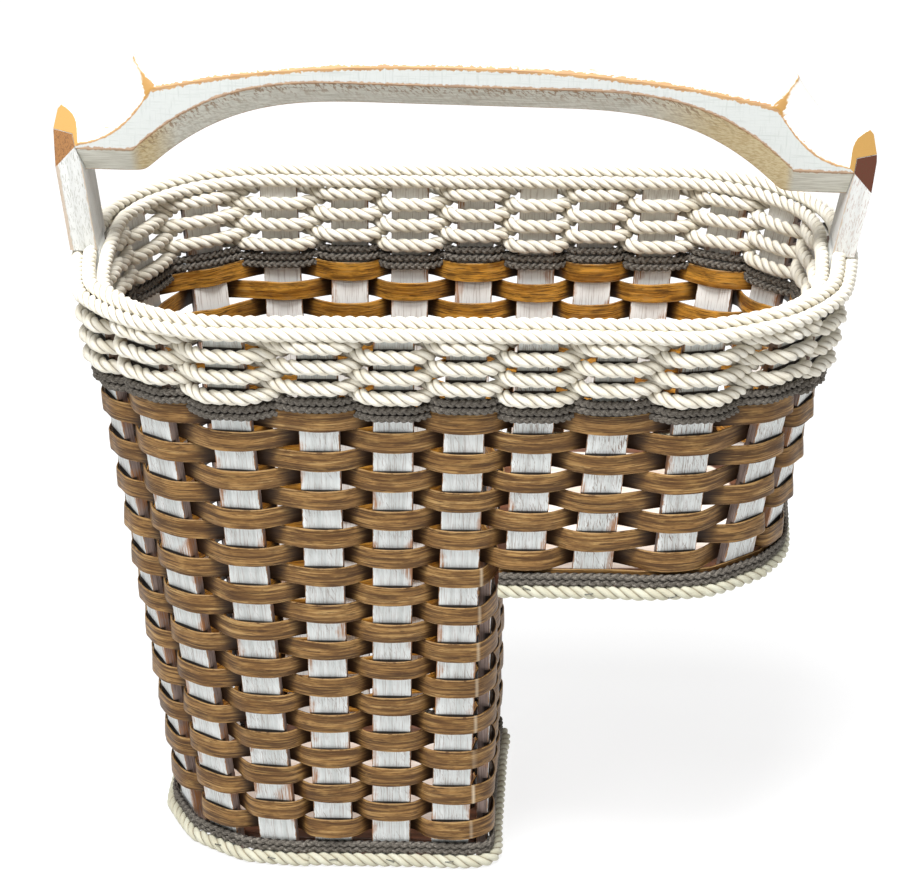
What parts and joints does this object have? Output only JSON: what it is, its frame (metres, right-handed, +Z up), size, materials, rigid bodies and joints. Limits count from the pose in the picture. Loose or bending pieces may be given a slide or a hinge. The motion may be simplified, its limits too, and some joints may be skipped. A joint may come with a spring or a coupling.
{
  "type": "stair basket",
  "caption": "L-shaped woven basket that stands across a stair step, with a tall leg, a shallow end, roped rim and a rigid arched carrying handle",
  "frame": {"origin": "underside of the lower board, below the middle of the rim, at the level of the lower stair", "axes": "+X from the tall leg to the shallow end, +Y from front to back, +Z up"},
  "size_m": [0.465, 0.2719, 0.4857],
  "materials": {
    "handle_wood": "whitewashed and sanded back at the edges, satin",
    "stake_wood": "whitewashed flat slats with brown scratches, matt",
    "weaver_strip": "stained golden brown strips with dark streaks, semi-gloss",
    "cotton_rope": "cream twisted cotton rope, matt",
    "grey_braid": "charcoal grey braided cord, matt",
    "board_wood": "dark stained board, satin"
  },
  "bodies": {
    "root": {"handle_bar": "handle_wood", "handle_upright_left": "handle_wood", "handle_upright_right": "handle_wood", "stake_front_01": "stake_wood", "stake_front_02": "stake_wood", "stake_front_03": "stake_wood", "stake_front_04": "stake_wood", "stake_front_05": "stake_wood", "stake_front_06": "stake_wood", "stake_front_07": "stake_wood", "stake_front_08": "stake_wood", "stake_front_09": "stake_wood", "stake_front_10": "stake_wood", "stake_front_11": "stake_wood", "stake_back_01": "stake_wood", "stake_back_02": "stake_wood", "stake_back_03": "stake_wood", "stake_back_04": "stake_wood", "stake_back_05": "stake_wood", "stake_back_06": "stake_wood", "stake_back_07": "stake_wood", "stake_back_08": "stake_wood", "stake_back_09": "stake_wood", "stake_back_10": "stake_wood", "stake_back_11": "stake_wood", "stake_back_12": "stake_wood", "stake_back_13": "stake_wood", "stake_riser_1": "stake_wood", "stake_riser_2": "stake_wood", "stake_riser_3": "stake_wood", "stake_riser_4": "stake_wood", "weavers_leg_1": "weaver_strip", "weavers_leg_2": "weaver_strip", "weavers_leg_3": "weaver_strip", "weavers_leg_4": "weaver_strip", "weavers_leg_5": "weaver_strip", "weavers_body_1": "weaver_strip", "weavers_body_2": "weaver_strip", "weavers_body_3": "weaver_strip", "weavers_body_4": "weaver_strip", "foot_band_upper": "weaver_strip", "rope_row_1": "cotton_rope", "rope_row_2": "cotton_rope", "rope_row_3": "cotton_rope", "rope_row_4": "cotton_rope", "rope_row_5": "cotton_rope", "rope_row_6": "cotton_rope", "rim_rope_outer": "cotton_rope", "rim_rope_inner": "cotton_rope", "rim_filler_front": "cotton_rope", "rim_filler_back": "cotton_rope", "foot_rope_lower": "cotton_rope", "foot_rope_upper": "cotton_rope", "grey_cord_upper": "grey_braid", "grey_cord_lower": "grey_braid", "foot_braid_lower": "grey_braid", "foot_braid_upper": "grey_braid", "board_lower": "board_wood", "board_upper": "board_wood"}
  },
  "joints": []
}
